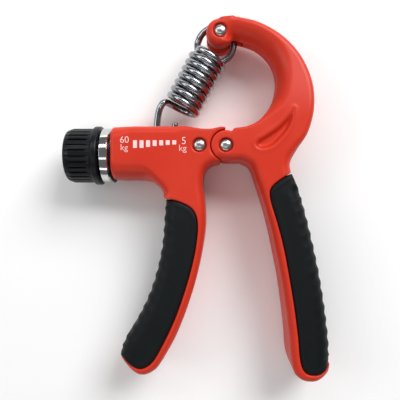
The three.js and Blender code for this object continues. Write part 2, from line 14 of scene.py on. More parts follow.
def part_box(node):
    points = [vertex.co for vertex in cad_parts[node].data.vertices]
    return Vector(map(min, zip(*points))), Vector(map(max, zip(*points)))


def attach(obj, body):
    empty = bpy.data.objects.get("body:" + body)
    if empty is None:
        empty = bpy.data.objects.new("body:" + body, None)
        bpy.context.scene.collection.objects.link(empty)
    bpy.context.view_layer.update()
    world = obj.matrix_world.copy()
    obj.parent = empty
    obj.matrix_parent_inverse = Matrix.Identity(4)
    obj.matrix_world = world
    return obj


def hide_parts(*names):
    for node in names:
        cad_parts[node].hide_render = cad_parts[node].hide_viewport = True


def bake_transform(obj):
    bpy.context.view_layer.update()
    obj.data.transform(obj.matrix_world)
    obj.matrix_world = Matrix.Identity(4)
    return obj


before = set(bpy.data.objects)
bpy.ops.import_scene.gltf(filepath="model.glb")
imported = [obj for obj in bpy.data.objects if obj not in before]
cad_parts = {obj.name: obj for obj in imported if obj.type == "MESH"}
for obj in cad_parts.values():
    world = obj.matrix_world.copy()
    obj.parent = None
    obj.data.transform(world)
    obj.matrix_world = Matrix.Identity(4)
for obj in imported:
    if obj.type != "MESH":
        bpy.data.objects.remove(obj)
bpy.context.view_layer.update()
MM = 0.001


def centre_mm(node):
    low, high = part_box(node)
    return np.array([(a + b) / 2 / MM for a, b in zip(low, high)])


# ---------- driving dimensions, mm ----------
PIVOT = centre_mm("pivot_rivet")
HINGE = np.array([PIVOT[0], PIVOT[1], 0.0])
MID = 13.0
PLASTIC_HALF = 12.7
HOOK_TIP_HALF = 9.8
GRIP_HALF = 13.0
CORE_HALF = 10.2
GRIP_WALL = 3.2
CORE_INSET = 1.6
CORE_EDGE = 1.2
GAP = 0.3

KNUCKLE_R = 6.2
LIP_END = 0.2
LOWER_LIP_END = -1.7
LINK_PIN = (-11.0, 0.0)
LINK_R = 4.6
LINK_HALF = 2.0
LINK_SWEEP = 1.2
TIP_PIN = (-2.4, 48.7)
TIP_CENTRE = (-2.6, 48.4)
TIP_R = 5.8
TIP_SLOT_HALF = 2.2
TIP_SLOT_R = 10.4

RIVET_SHANK_R = 1.9
RIVET_HEAD_R = 2.65
RIVET_DOME = 1.6
RECESS_R = 3.05
RECESS_DEPTH = 1.4
WASHER_R = 2.85
WASHER_THICK = 0.6

AXIS_Y = -3.4
BARREL_TOP = 8.0
BARREL_BOTTOM = -14.2
BARREL_END = -48.3
BARREL_SECTION_END = -40  # the barrel's round section is cut to the left of this ...
BARREL_SECTION_LOW = -30  # ... and above this, clear of the left leg
UNCUT = -9  # a field value that leaves a shape as it is when the larger value is kept
BORE_R = 7.9
BORE_END = -16.6
TOP_SLOT = (-45.0, -13.4, 4.7)

KNOB_LEFT = -68.5
KNOB_RIGHT = -53.9
KNOB_R = 11.8
KNOB_FLANGE_LEFT = -56.9
KNOB_FLANGE_R = 12.75
KNOB_RIBS = 30
KNOB_RIB_DEPTH = 0.75
KNOB_RIB_END = -58.2
KNOB_RIB_FADE = (-58.6, -57.9)
KNOB_SOCKET_R = 5.0
CAP_R = 8.2
CAP_THICK = 1.6
SCREW_R = 2.5
SCREW_HEAD = (-66.4, -62.4)
COLLAR = (-53.2, -49.1, 11.9)
GASKET = (-48.95, -48.4, 11.75)
SPIGOT_R = 7.5
SPIGOT_RIGHT = -45.5

FOOT = (-26.1, 5.1)
FOOT_PIN_R = 2.0
EAR_HALF = 4.4
WIRE_R = 1.5
COIL_R = 6.97
COIL_START = 13.6
COIL_PITCH = 3.3
COIL_TURNS = 8.25
HOOK_BEND_R = 3.85
LOOP_R = 7.8

RIDGE_HEIGHT = 0.45
RIDGES = 14

STEP = 0.42  # grid step of the moulded pieces
SHARP_ANGLE = 50  # degrees; edges of turned pieces above it are shaded sharp

# ---------- outlines, mm about the hinge pin ----------
LEFT_INNER = [(-2.5, -6.7), (-6, -7.7), (-8.9, -10.3), (-10, -16), (-8.9, -25), (-8.7, -34), (-10, -44),
              (-12.5, -56), (-16.2, -68), (-21, -80), (-26.6, -90)]
LEFT_END = [(-29.8, -94), (-34.7, -96), (-39.8, -94.2), (-43.6, -90)]
LEFT_OUTER = [(-44.7, -86.4), (-42.2, -80.6), (-37.6, -73), (-32.7, -63), (-29.1, -52), (-26.9, -41),
              (-26, -30), (-25.7, -23.4)]
LEFT_ARMPIT = [(-26.1, -20), (-27.9, -17.4), (-30.9, -15.4), (-34.6, -14.5), (-38.5, BARREL_BOTTOM)]
LEFT_GRIP_EDGE = [(-42.6, -88.6), (-40, -91), (-35.5, -92.9), (-30.8, -90.3), (-26.6, -83.5), (-21.6, -73),
                  (-17.6, -62), (-14.4, -51), (-12.4, -41), (-11.9, -32), (-14.1, -26.6), (-19.5, -23.6),
                  (-24.6, -22.4)]
HOOK_OUTER = [(4, 55), (13.5, 52.8), (22.6, 47.9), (29.4, 41.5), (34, 33.8), (36.7, 24.5), (36.7, 14.5),
              (34.2, 5.3), (29.8, -1.7), (27, -7.4), (27.8, -12.4)]
RIGHT_OUTER = [(31.2, -19.2), (34.4, -31), (37.3, -43.2), (39.8, -55.4), (41.8, -68), (43.2, -80),
               (43.9, -91)]
RIGHT_END = [(42.8, -95.8), (39, -98.6), (33, -98.6), (28.9, -95.8)]
RIGHT_INNER = [(27.3, -90), (26.5, -80), (25.2, -68.8), (23.5, -57), (21.3, -45.8), (18.9, -34.6),
               (16.1, -24.3), (12.9, -14.6), (10.6, -8.6), (6.6, -6.2)]
HOOK_INNER = [(8.4, 7.8), (13.4, 10.2), (17.8, 15.3), (21, 21.6), (22.1, 28), (20.9, 34.3), (17.2, 39.8),
              (11.4, 43.8), (4, 46)]
RIGHT_GRIP_EDGE = [(27.2, -11.7), (22.3, -14.6), (18.6, -18.2), (18.6, -23), (21.4, -32.4), (24, -42.5),
                   (26.2, -54), (28.2, -66), (29.9, -79), (31, -90), (33.2, -94.6), (37.6, -95.6),
                   (41.4, -94), (43.2, -91.4)]
GROOVE_UPPER = [(13.2, 2.0), (17.4, 4.5), (21.5, 7.4), (24.9, 10.7), (26.8, 13.0), (28.0, 15.0)]
GROOVE_LOWER = [(27.7, 11.2), (25.8, 6.6), (22.8, 2.8), (19.2, -0.5), (15.2, -1.6), (12.9, -0.9), (12.3, 0.6)]


# ---------- lines ----------
def spline(points, per=8):
    """Points along a uniform Catmull-Rom line through the given points."""
    p = np.array(points, float)
    q = np.vstack([p[:1], p, p[-1:]])
    t = (np.arange(per) / per)[:, None]
    out = []
    for before, start, end, after in zip(q[:-3], q[1:-2], q[2:-1], q[3:]):
        v0, v1 = (end - before) / 2, (after - start) / 2
        out.append((2 * start - 2 * end + v0 + v1) * t ** 3 + (3 * end - 3 * start - 2 * v0 - v1) * t ** 2
                   + v0 * t + start)
    return np.vstack(out + [p[-1:]])


def spaced(points, count):
    """The same smooth line cut into equal lengths."""
    line = spline(points, 24)
    along = np.concatenate([[0], np.cumsum(np.linalg.norm(np.diff(line, axis=0), axis=1))])
    at = np.linspace(0, along[-1], count + 1)
    return np.column_stack([np.interp(at, along, line[:, k]) for k in range(line.shape[1])])


def offset(points, distance):
    """A line moved to its left."""
    p = np.array(points, float)
    q = np.vstack([p[:1], p, p[-1:]])
    d = q[2:] - q[:-2]
    d /= np.linalg.norm(d, axis=1)[:, None]
    return p + distance * np.column_stack([-d[:, 1], d[:, 0]])


def arc(centre, radius, start, end, count):
    a = np.radians(np.linspace(start, end, count + 1))
    return np.column_stack([centre[0] + radius * np.cos(a), centre[1] + radius * np.sin(a)])


def scalloped(points, count, height, per=10):
    """A smooth line with a row of shallow rounded scallops on its left side."""
    line = spaced(points, count * per)
    rise = height / 2 * (1 - np.cos(np.arange(len(line)) / per * 2 * np.pi))
    rise[:per // 2] = 0
    rise[-per // 2:] = 0
    normals = offset(line, 1) - line
    return line + normals * rise[:, None]


def left_outline(outer):
    return np.vstack([
        [(BARREL_END, BARREL_TOP), (-17.6, BARREL_TOP)],
        spline([(-15.4, 7.7), (-12.9, 7.2), (-9.4, 6.75), (-6, 6.8), (-2.4, 7.6)]), [(3, 7.6), (3, -6.7)],
        spline(LEFT_INNER), spline([LEFT_INNER[-1]] + LEFT_END)[1:], outer,
        spline([tuple(outer[-1])] + LEFT_ARMPIT)[1:], [(BARREL_END, BARREL_BOTTOM)],
    ])


def right_outline(outer):
    return np.vstack([
        spline(HOOK_OUTER), outer, spline([tuple(outer[-1])] + RIGHT_END)[1:],
        spline([RIGHT_END[-1]] + RIGHT_INNER)[1:], arc((0, 0), KNUCKLE_R, -90, -292, 48), [(3.6, 7.1)],
        spline([(3.6, 7.1)] + HOOK_INNER)[1:], arc(TIP_CENTRE, TIP_R, -22, -262, 48),
    ])


# ---------- distance fields ----------
def smoothstep(v, a, b):
    t = np.clip((v - a) / (b - a), 0, 1)
    return t * t * (3 - 2 * t)


def line_distance(line, x, y, closed=False):
    """Distance in the plane to a line of points; negative inside it when it is closed."""
    best = np.full(x.shape, 1e9)
    inside = np.zeros(x.shape, bool)
    ends = np.roll(line, -1, 0) if closed else line[1:]
    for (ax, ay), (bx, by) in zip(line, ends):
        ex, ey = bx - ax, by - ay
        wx, wy = x - ax, y - ay
        t = np.clip((wx * ex + wy * ey) / max(ex * ex + ey * ey, 1e-12), 0, 1)
        best = np.minimum(best, (wx - t * ex) ** 2 + (wy - t * ey) ** 2)
        if closed and ay != by:
            crossed = ((ay > y) != (by > y)) & (wx < ex * wy / ey)
            inside ^= crossed
    d = np.sqrt(best)
    return np.where(inside, -d, d)


def rolled(edge, face, radius):
    """Where two sides meet at a rounded corner: edge and face are signed distances, negative inside."""
    a, b = edge + radius, face + radius
    return np.minimum(np.maximum(a, b), 0) + np.hypot(np.maximum(a, 0), np.maximum(b, 0)) - radius


def cut(a, b, k):
    """a without b, with the new edge softened over k."""
    h = np.maximum(k - np.abs(a + b), 0) / k
    return np.maximum(a, -b) + h * h * k / 4


def slab(v, low, high):
    return np.maximum(low - v, v - high)


def brick(x, y, z, bx, by, bz):
    return np.maximum(np.maximum(slab(x, *bx), slab(y, *by)), slab(z, *bz))


class Grid:
    """A block of sample points; x, y are flat maps and z runs through the depth."""

    def __init__(self, low, high, step):
        self.low, self.step = np.array(low, float), step
        axes = [np.arange(a, b + step, step) for a, b in zip(low, high)]
        self.x, self.y = (m[:, :, None] for m in np.meshgrid(axes[0], axes[1], indexing="ij"))
        self.z = axes[2][None, None, :]

    def flat(self, line, closed=True):
        return line_distance(np.asarray(line, float), self.x[:, :, 0], self.y[:, :, 0], closed)[:, :, None]

    def circle(self, centre, radius):
        return np.hypot(self.x - centre[0], self.y - centre[1]) - radius


def net(values, low, step, smooth=2):
    """Quads on the zero level of a sampled field, relaxed and drawn back onto it."""
    inside = values < 0
    shape = np.array(values.shape) - 1
    corner = [(i, j, k) for i in (0, 1) for j in (0, 1) for k in (0, 1)]
    view = {c: tuple(slice(c[a], c[a] + shape[a]) for a in range(3)) for c in corner}
    some = np.zeros(shape, bool)
    every = np.ones(shape, bool)
    for c in corner:
        some |= inside[view[c]]
        every &= inside[view[c]]
    cells = np.argwhere(some & ~every)
    ids = np.full(shape, -1, np.int64)
    ids[tuple(cells.T)] = np.arange(len(cells))
    total = np.zeros((len(cells), 3))
    count = np.zeros(len(cells))
    value = {c: values[tuple((cells + c).T)] for c in corner}
    for a in corner:
        for axis in range(3):
            if a[axis]:
                continue
            b = tuple(1 if i == axis else a[i] for i in range(3))
            va, vb = value[a], value[b]
            hit = (va < 0) != (vb < 0)
            t = np.where(hit, va / np.where(hit, va - vb, 1), 0)
            for i in range(3):
                total[:, i] += np.where(hit, a[i] + (t if i == axis else 0), 0)
            count += hit
    points = cells + total / count[:, None]
    quads = []
    for axis in range(3):
        u, v = [(1, 2), (2, 0), (0, 1)][axis]
        here = [slice(1, -1)] * 3
        there = [slice(1, -1)] * 3
        here[axis], there[axis] = slice(0, -1), slice(1, None)
        a, b = inside[tuple(here)], inside[tuple(there)]
        for flip, where in ((False, a & ~b), (True, b & ~a)):
            at = np.argwhere(where)
            for i in range(3):
                if i != axis:
                    at[:, i] += 1
            ring = []
            for du, dv in ((-1, -1), (0, -1), (0, 0), (-1, 0)):
                c = at.copy()
                c[:, u] += du
                c[:, v] += dv
                ring.append(ids[tuple(c.T)])
            q = np.column_stack(ring)
            quads.append(q[:, ::-1] if flip else q)
    quads = np.vstack(quads)
    slope = np.stack(np.gradient(values), -1).astype(np.float32)
    limit = np.array(values.shape) - 1.001

    def sample(field, p):
        base = np.floor(p).astype(int)
        f = (p - base)
        out = 0
        for c in corner:
            w = np.prod([f[:, i] if c[i] else 1 - f[:, i] for i in range(3)], axis=0)
            got = field[tuple((base + c).T)]
            out = out + (w[:, None] * got if got.ndim > 1 else w * got)
        return out

    for turn in range(smooth + 1):
        if turn:
            around = np.zeros_like(points)
            number = np.zeros(len(points))
            for i in range(4):
                for j in ((i + 1) % 4, (i + 3) % 4):
                    np.add.at(number, quads[:, i], 1)
                    for k in range(3):
                        around[:, k] += np.bincount(quads[:, i], points[quads[:, j], k], len(points))
            points += 0.6 * (around / number[:, None] - points)
        for _ in range(2):
            points = np.clip(points, 0, limit)
            g = sample(slope, points)
            f = sample(values, points)
            size = np.maximum((g * g).sum(1), 1e-4)
            move = (f / size)[:, None] * g
            length = np.maximum(np.linalg.norm(move, axis=1), 1e-9)
            points -= move * np.minimum(1, 0.5 / length)[:, None]
    return points * step + low, quads


# ---------- meshes ----------
def weld(mesh):
    """Close a turned mesh at its poles and at its seam, with its faces pointing out."""
    work = bmesh.new()
    work.from_mesh(mesh)
    bmesh.ops.remove_doubles(work, verts=work.verts, dist=3e-6)
    bmesh.ops.recalc_face_normals(work, faces=work.faces)
    if work.calc_volume(signed=True) < 0:
        bmesh.ops.reverse_faces(work, faces=work.faces)
    work.to_mesh(mesh)
    work.free()


def make(name, points, faces, material, body, replaced=(), slot_name=None, smooth=True, angle=None):
    """A piece riding on a body, from points in millimetres about the hinge pin.

    All faces have the same number of sides. An angle is given for a turned piece: it is welded at its seam
    and poles, and its edges above that angle are shaded sharp.
    """
    mesh = bpy.data.meshes.new(name)
    points = (np.asarray(points, float) + HINGE) * MM
    faces = np.asarray(faces, np.int32)
    sides = faces.shape[1]
    mesh.vertices.add(len(points))
    mesh.vertices.foreach_set("co", points.ravel())
    mesh.loops.add(faces.size)
    mesh.loops.foreach_set("vertex_index", faces.ravel())
    mesh.polygons.add(len(faces))
    mesh.polygons.foreach_set("loop_start", np.arange(0, faces.size, sides, dtype=np.int32))
    mesh.update(calc_edges=True)
    mesh.validate()
    mesh.polygons.foreach_set("use_smooth", np.full(len(mesh.polygons), smooth))
    mesh.materials.append(material)
    piece = bpy.data.objects.new(name, mesh)
    bpy.context.scene.collection.objects.link(piece)
    if angle:
        weld(mesh)
        mesh.set_sharp_from_angle(angle=math.radians(angle))
    if body:
        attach(piece, body)
    if replaced:
        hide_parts(*replaced)
    return piece


def moulded(name, field, grid, *args):
    points, quads = net(field.astype(np.float32), grid.low, grid.step)
    return make(name, points, quads, *args)


def filleted(profile, radius, count=4):
    """A profile of points whose inner corners are rounded; a third number is a corner's own radius."""
    out = [np.array(profile[0][:2], float)]
    for before, here, after in zip(profile, profile[1:], profile[2:]):
        r = here[2] if len(here) > 2 else radius
        p = np.array(here[:2], float)
        a = np.array(before[:2], float) - p
        b = np.array(after[:2], float) - p
        la, lb = np.linalg.norm(a), np.linalg.norm(b)
        cos = np.clip(a @ b / (la * lb), -1, 1)
        half = math.acos(cos) / 2
        if r <= 0 or half > 1.55:
            out.append(p)
            continue
        back = min(r / math.tan(half), la * 0.48, lb * 0.48)
        start, end = p + a / la * back, p + b / lb * back
        for t in np.linspace(0, 1, count + 1):
            out.append((1 - t) ** 2 * start + 2 * t * (1 - t) * p + t * t * end)
    out.append(np.array(profile[-1][:2], float))
    return np.array(out)


def lathe(profile, segments, radius_at=None):
    """Points and quads turned from [along, radius] pairs; radius_at can change the radius with the angle."""
    along, radius = profile[:, 0], np.maximum(profile[:, 1], 1e-3)
    angle = np.arange(segments) / segments * 2 * np.pi
    r = np.repeat(radius[:, None], segments, 1)
    if radius_at is not None:
        r = radius_at(along[:, None], r, angle[None, :])
    points = np.stack([np.repeat(along[:, None], segments, 1), r * np.cos(angle), r * np.sin(angle)], -1)
    i, j = np.meshgrid(np.arange(len(along) - 1), np.arange(segments), indexing="ij")
    k = (j + 1) % segments
    quads = np.stack([i * segments + j, i * segments + k, (i + 1) * segments + k, (i + 1) * segments + j], -1)
    return points.reshape(-1, 3), quads.reshape(-1, 4)


def turned(name, profile, material, body, replaced, slot_name, radius=0.25, segments=96, radius_at=None):
    """A piece turned about the knob's axis; the profile is [along, radius] pairs."""
    points, quads = lathe(filleted(profile, radius), segments, radius_at)
    points = points + (0, AXIS_Y, MID)
    return make(name, points, quads, material, body, replaced, slot_name, True, SHARP_ANGLE)


def upright(name, centre, profile, material, body, replaced, slot_name, radius=0.2, segments=64):
    """A piece turned about an upright axis; the profile is [height, radius] pairs."""
    points, quads = lathe(filleted(profile, radius), segments)
    points = points[:, [1, 2, 0]] + (centre[0], centre[1], 0)
    return make(name, points, quads, material, body, replaced, slot_name, True, SHARP_ANGLE)


def swept(path, radius, sides):
    """A round wire along a path, with rounded ends."""
    path = np.asarray(path, float)
    tangent = np.gradient(path, axis=0)
    tangent /= np.linalg.norm(tangent, axis=1)[:, None]
    normal = np.cross(tangent[0], (0, 0, 1.0))
    normal /= np.linalg.norm(normal)
    rings, angle = [], np.arange(sides) / sides * 2 * np.pi
    ends = np.radians([12, 34, 56, 78])
    frames = []
    for t in tangent:
        normal = normal - t * (normal @ t)
        normal /= np.linalg.norm(normal)
        frames.append((normal.copy(), np.cross(t, normal)))

    def ring(i, shift, scale):
        n, b = frames[i]
        return (path[i] + tangent[i] * shift + radius * scale
                * (np.cos(angle)[:, None] * n + np.sin(angle)[:, None] * b))

    for a in ends:
        rings.append(ring(0, -0.45 * radius * math.cos(a), math.sin(a) ** 0.6))
    rings += [ring(i, 0, 1) for i in range(len(path))]
    for a in ends[::-1]:
        rings.append(ring(-1, 0.45 * radius * math.cos(a), math.sin(a) ** 0.6))
    points = np.vstack(rings)
    i, j = np.meshgrid(np.arange(len(rings) - 1), np.arange(sides), indexing="ij")
    k = (j + 1) % sides
    quads = np.stack([i * sides + j, i * sides + k, (i + 1) * sides + k, (i + 1) * sides + j], -1)
    quads = quads.reshape(-1, 4)
    last = (len(rings) - 1) * sides
    middle = len(points)
    points = np.vstack([points, rings[0].mean(0), rings[-1].mean(0)])
    fans = []
    for s in range(0, sides, 2):
        fans.append([middle, (s + 2) % sides, s + 1, s])
        fans.append([middle + 1, last + s, last + s + 1, last + (s + 2) % sides])
    return points, np.vstack([quads, fans])


# ---------- materials ----------
def srgb(*rgb):
    return [((v / 255 + 0.055) / 1.055) ** 2.4 if v > 10.31 else v / 255 / 12.92 for v in rgb] + [1.0]


class Nodes:
    """A Principled material with its texture nodes."""

    def __init__(self, name, metallic=0.0, **sockets):
        self.material = bpy.data.materials.new(name)
        self.material.use_nodes = True
        self.tree = self.material.node_tree
        self.shader = self.tree.nodes["Principled BSDF"]
        self.shader.inputs["Metallic"].default_value = metallic
        for key, value in sockets.items():
            self.shader.inputs[key.replace("_", " ")].default_value = value
        self.place = self.new("ShaderNodeTexCoord").outputs["Object"]

    def new(self, kind, **values):
        node = self.tree.nodes.new(kind)
        for key, value in values.items():
            setattr(node, key, value)
        return node

    def link(self, a, b):
        self.tree.links.new(a, b)

    def noise(self, scale, detail=3.0, roughness=0.55, stretch=None):
        node = self.new("ShaderNodeTexNoise")
        node.inputs["Scale"].default_value = scale
        node.inputs["Detail"].default_value = detail
        node.inputs["Roughness"].default_value = roughness
        source = self.place
        if stretch:
            mapping = self.new("ShaderNodeMapping")
            mapping.inputs["Scale"].default_value = stretch
            self.link(self.place, mapping.inputs["Vector"])
            source = mapping.outputs["Vector"]
        self.link(source, node.inputs["Vector"])
        return node.outputs["Fac"]

    def ramp(self, source, *stops):
        node = self.new("ShaderNodeValToRGB")
        elements = node.color_ramp.elements
        while len(elements) < len(stops):
            elements.new(0.5)
        for element, (at, colour) in zip(elements, stops):
            element.position = at
            element.color = colour
        self.link(source, node.inputs["Fac"])
        return node.outputs["Color"]

    def span(self, source, low, high, start=0.3, end=0.7):
        node = self.new("ShaderNodeMapRange")
        for key, value in (("From Min", start), ("From Max", end), ("To Min", low), ("To Max", high)):
            node.inputs[key].default_value = value
        self.link(source, node.inputs["Value"])
        return node.outputs["Result"]

    def mix(self, amount, a, b):
        node = self.new("ShaderNodeMix", data_type="RGBA")
        self.link(amount, node.inputs["Factor"])
        for key, value in (("A", a), ("B", b)):
            socket = [s for s in node.inputs if s.name == key and s.type == "RGBA"][0]
            if isinstance(value, list):
                socket.default_value = value
            else:
                self.link(value, socket)
        return [s for s in node.outputs if s.type == "RGBA"][0]

    def bump(self, source, distance, strength=1.0, before=None):
        node = self.new("ShaderNodeBump")
        node.inputs["Distance"].default_value = distance
        node.inputs["Strength"].default_value = strength
        self.link(source, node.inputs["Height"])
        if before is not None:
            self.link(before, node.inputs["Normal"])
        return node.outputs["Normal"]

    def finish(self, colour=None, roughness=None, normal=None):
        for key, value in (("Base Color", colour), ("Roughness", roughness), ("Normal", normal)):
            if value is not None:
                self.link(value, self.shader.inputs[key])
        return self.material


def moulded_plastic():
    n = Nodes("body_plastic", IOR=1.45, Specular_IOR_Level=0.36)
    broad = n.noise(38, 3)
    fine = n.noise(900, 2)
    colour = n.ramp(broad, (0.3, srgb(205, 49, 27)), (0.7, srgb(211, 54, 31)))
    specks = n.span(fine, 0.0, 0.05, 0.62, 0.75)
    colour = n.mix(specks, colour, srgb(226, 100, 76))
    normal = n.bump(n.noise(2600, 2), 0.00004, 0.35)
    normal = n.bump(n.noise(150, 2), 0.00012, 0.25, normal)
    return n.finish(colour, n.span(broad, 0.36, 0.46), normal)


def grip_rubber():
    n = Nodes("grip_rubber", IOR=1.4, Specular_IOR_Level=0.26)
    broad = n.noise(60, 4)
    colour = n.ramp(broad, (0.3, srgb(10, 14, 16)), (0.7, srgb(15, 20, 22)))
    dust = n.span(n.noise(700, 3), 0.0, 0.14, 0.6, 0.8)
    colour = n.mix(dust, colour, srgb(40, 46, 48))
    normal = n.bump(n.noise(3200, 3, 0.7), 0.00006, 0.6)
    return n.finish(colour, n.span(n.noise(260, 3), 0.46, 0.6), normal)


def knob_plastic():
    n = Nodes("knob_plastic", IOR=1.45, Specular_IOR_Level=0.3)
    broad = n.noise(80, 3)
    colour = n.ramp(broad, (0.3, srgb(6, 7, 13)), (0.7, srgb(10, 12, 20)))
    normal = n.bump(n.noise(2800, 2), 0.00005, 0.5)
    return n.finish(colour, n.span(n.noise(400, 3), 0.3, 0.42), normal)


def plated(name, low, high, rough, stretch=None, scratch=0.3):
    n = Nodes(name, metallic=1.0)
    colour = n.ramp(n.noise(90, 3), (0.3, low), (0.7, high))
    grain = n.noise(500, 4, 0.6, stretch)
    normal = n.bump(grain, 0.00002, scratch)
    return n.finish(colour, n.span(grain, rough[0], rough[1]), normal)


def print_ink():
    n = Nodes("print_ink", IOR=1.45)
    wear = n.span(n.noise(2400, 3), 0.0, 0.5, 0.52, 0.75)
    colour = n.mix(wear, srgb(252, 214, 214), srgb(240, 150, 145))
    return n.finish(colour, n.span(n.noise(900, 2), 0.4, 0.55))


def floor_paint():
    n = Nodes("floor_paint", IOR=1.3)
    tone = n.noise(6, 2)
    colour = n.ramp(tone, (0.3, srgb(250, 250, 250)), (0.7, srgb(252, 252, 252)))
    return n.finish(colour, n.span(tone, 0.9, 0.95))


PLASTIC = moulded_plastic()
RUBBER = grip_rubber()
KNOB_BLACK = knob_plastic()
CHROME = plated("chrome", srgb(200, 201, 200), srgb(216, 217, 216), (0.07, 0.13), scratch=0.08)
RIVET_PLATE = plated("rivet_plate", srgb(176, 177, 176), srgb(196, 197, 196), (0.24, 0.34), scratch=0.1)
STEEL = plated("steel", srgb(150, 152, 155), srgb(182, 184, 187), (0.22, 0.38), scratch=0.5)
SPRING_STEEL = plated("spring_steel", srgb(142, 145, 150), srgb(166, 169, 173), (0.15, 0.24), scratch=0.06)
INK = print_ink()


# ---------- left handle with the barrel ----------
def rivet_holes(f, g, pin, half, soft=0.15):
    """Round counterbores over and under a rivet, and its hole."""
    radius = g.circle(pin, RECESS_R)
    front = np.maximum(radius, MID + half - RECESS_DEPTH - g.z)
    back = np.maximum(radius, g.z - (MID - half + RECESS_DEPTH + WASHER_THICK))
    hole = g.circle(pin, RIVET_SHANK_R + GAP) + 0 * g.z
    f = cut(f, front, soft)
    f = cut(f, back, soft)
    return cut(f, hole, 0.2)


def grip_area(g, edge, growth, far):
    line = spaced(offset(edge, growth), 60)
    return g.flat(np.vstack([line, far]))


def core_field(g, inner_side, outer_side, growth):
    inner = spaced(offset(inner_side, -CORE_INSET), 32)
    outer = spaced(offset(outer_side, growth - GRIP_WALL), 32)
    flat = g.flat(np.vstack([inner, outer]))
    return rolled(flat, np.abs(g.z - MID) - CORE_HALF - growth, CORE_EDGE)


LEFT_FAR = [(-60, -22.4), (-60, -84)]
RIGHT_FAR = [(60, -86), (60, -11.7)]
LEFT_CORE = (LEFT_INNER[4:] + LEFT_END[:2], LEFT_OUTER + LEFT_ARMPIT[:2])
RIGHT_CORE = (RIGHT_END[2:] + RIGHT_INNER[:8], HOOK_OUTER[9:] + RIGHT_OUTER)


def left_shell():
    g = Grid((-49.5, -98, -1), (2.2, 10.2, 27), STEP)
    edge = g.flat(left_outline(np.array(LEFT_OUTER, float)))
    face = np.abs(g.z - MID) - PLASTIC_HALF
    f = rolled(edge, face, 0.7)
    # the barrel's lower side is a big roll that tightens in the armpit; its upper side opens at the left end
    low_side = spline([(BARREL_END, BARREL_BOTTOM)] + LEFT_ARMPIT[::-1])
    low_radius = 4.2 + 4.2 * smoothstep(-g.x, 27, 35)
    top_side = np.array([(BARREL_END, BARREL_TOP), (-14, BARREL_TOP)])
    top_radius = 2.0 + 1.2 * smoothstep(-g.x, 16, 22) + 2.2 * smoothstep(-g.x, 38, 47)
    end_side = np.array([(BARREL_END, BARREL_TOP), (BARREL_END, BARREL_BOTTOM)])
    end_radius = 3.4 + 2.4 * smoothstep(-g.x, 36, 42)
    leg_end = spline(LEFT_OUTER[1::-1] + LEFT_END[::-1] + LEFT_INNER[::-1])
    sides = ((leg_end, end_radius), (low_side, low_radius), (top_side, top_radius), (end_side, 1.8))
    for line, radius in sides:
        f = np.maximum(f, rolled(-g.flat(line, False), face, radius))
    # seen from the end the barrel's corners are round too, so its end edge follows them
    section = np.maximum(rolled(g.y - BARREL_TOP, face, top_radius), rolled(BARREL_BOTTOM - g.y, face, 8.4))
    elsewhere = (g.x > BARREL_SECTION_END) | (g.y < BARREL_SECTION_LOW)
    f = np.maximum(f, np.where(elsewhere, UNCUT, rolled(section, BARREL_END - g.x + 0 * g.z, 1.8)))
    f = cut(f, grip_area(g, LEFT_GRIP_EDGE, -GAP / 2, LEFT_FAR) + 0 * g.z, 0.6)
    f = np.minimum(f, core_field(g, *LEFT_CORE, 0))
    f = cut(f, g.circle((0, 0), KNUCKLE_R + GAP) + 0 * g.z, 1.0)
    f = cut(f, brick(g.x, g.y, g.z, (LIP_END, 20), (-1, 20), (-5, 40)), 1.2)
    f = cut(f, brick(g.x, g.y, g.z, (LOWER_LIP_END, 20), (-20, -0.5), (-5, 40)), 0.8)
    bore = np.hypot(g.y - AXIS_Y, g.z - MID) - BORE_R
    f = cut(f, np.maximum(bore, g.x - BORE_END), 0.5)
    f = cut(f, brick(g.x, g.y, g.z, TOP_SLOT[:2], (0, 20), (MID - TOP_SLOT[2], MID + TOP_SLOT[2])), 0.8)
    link = LINK_HALF + GAP
    f = cut(f, brick(g.x, g.y, g.z, (LINK_PIN[0] - LINK_R - GAP, 10), (-LINK_R - GAP, LINK_R + GAP),
                     (MID - link, MID + link)), 0.4)
    f = rivet_holes(f, g, LINK_PIN, PLASTIC_HALF)
    return moulded("left_shell", f, g, PLASTIC, "left_side", ["left_handle"], "body_plastic")


